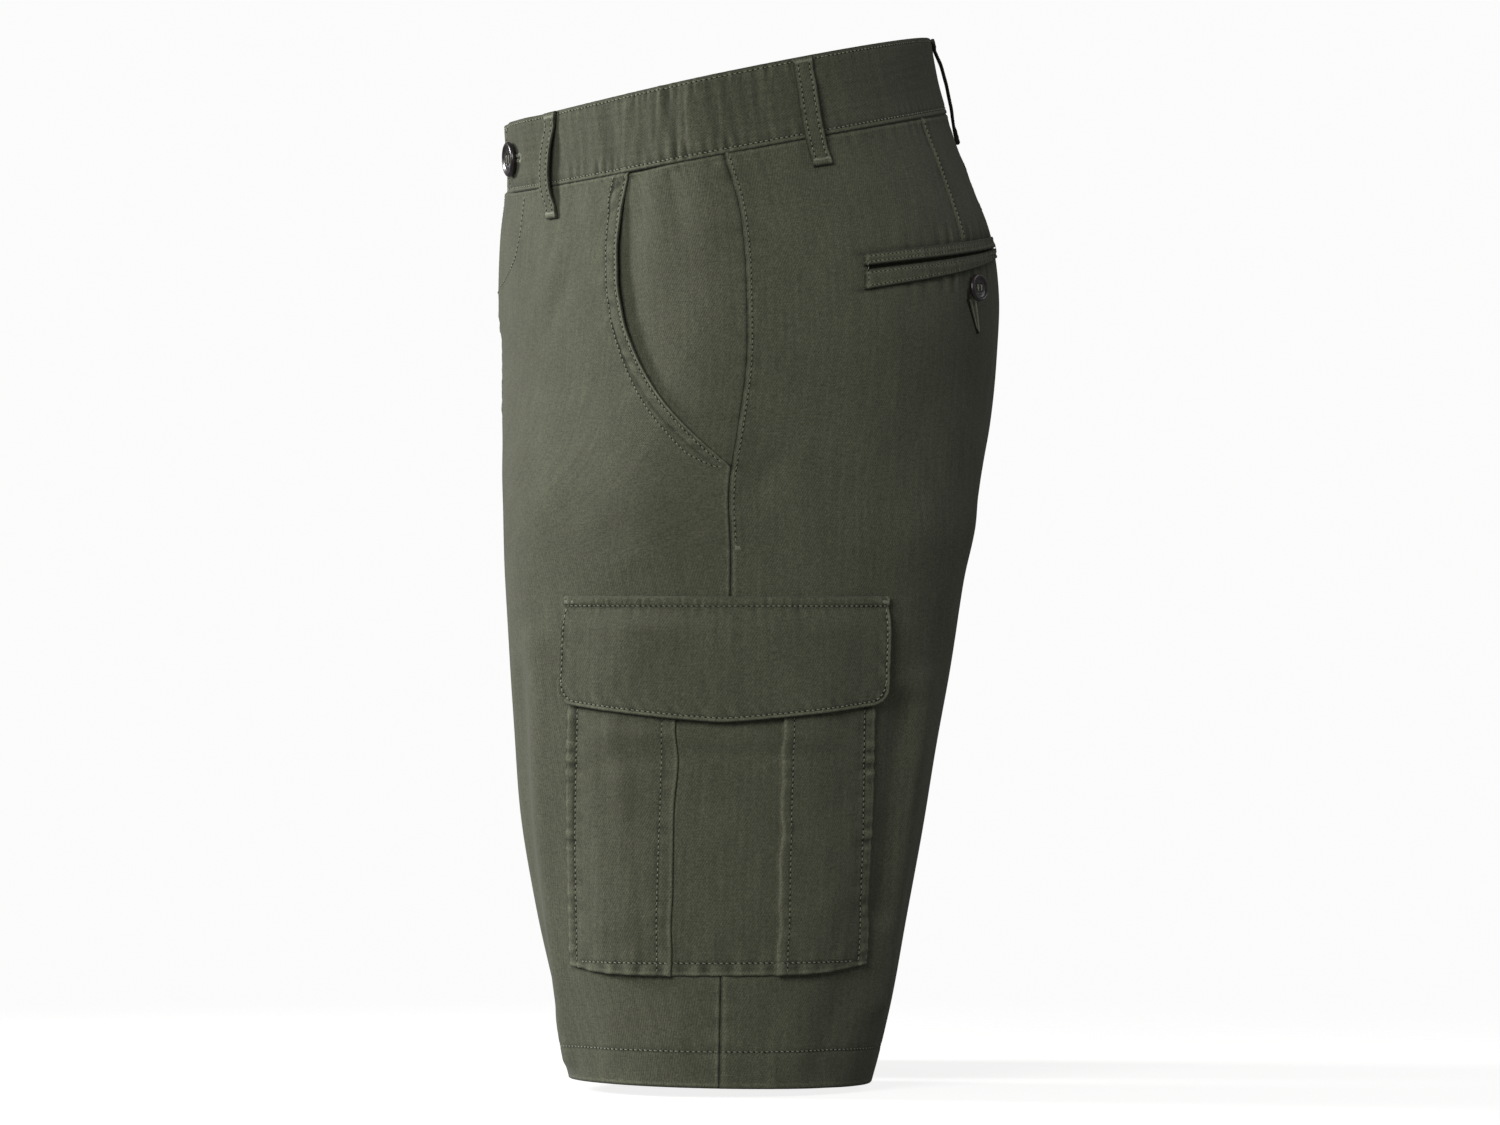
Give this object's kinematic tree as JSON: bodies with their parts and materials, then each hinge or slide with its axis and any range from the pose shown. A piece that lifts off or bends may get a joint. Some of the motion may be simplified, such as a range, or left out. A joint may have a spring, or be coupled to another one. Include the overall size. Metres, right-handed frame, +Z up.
{
  "type": "cargo shorts",
  "caption": "Knee-length cargo shorts in olive twill, filled out as worn, with gathered waistband sides, belt loops, slant pockets, welt pockets and flapped, pleated leg pockets.",
  "frame": {"origin": "middle of the waistband at half its height, where the wearer's waist holds the shorts up", "axes": "+Z up, -Y to the wearer's front, +X to the wearer's left"},
  "size_m": [0.384, 0.2695, 0.558],
  "materials": {
    "twill": "matt olive cotton twill",
    "thread": "olive sewing thread, a shade lighter than the cloth",
    "button": "dark brown polished resin"
  },
  "bodies": {
    "root": {"front_left": "twill", "front_right": "twill", "back_left": "twill", "back_right": "twill", "pocket_bearer_left": "twill", "pocket_bearer_right": "twill", "waistband_left": "twill", "waistband_right": "twill", "belt_loop_front_left": "twill", "belt_loop_front_right": "twill", "belt_loop_side_left": "twill", "belt_loop_side_right": "twill", "belt_loop_back": "twill", "welt_upper_left": "twill", "welt_upper_right": "twill", "welt_lower_left": "twill", "welt_lower_right": "twill", "cargo_pocket_left": "twill", "cargo_pocket_right": "twill", "cargo_flap_left": "twill", "cargo_flap_right": "twill", "button_waist": "button", "button_back_left": "button", "button_back_right": "button"}
  },
  "joints": []
}
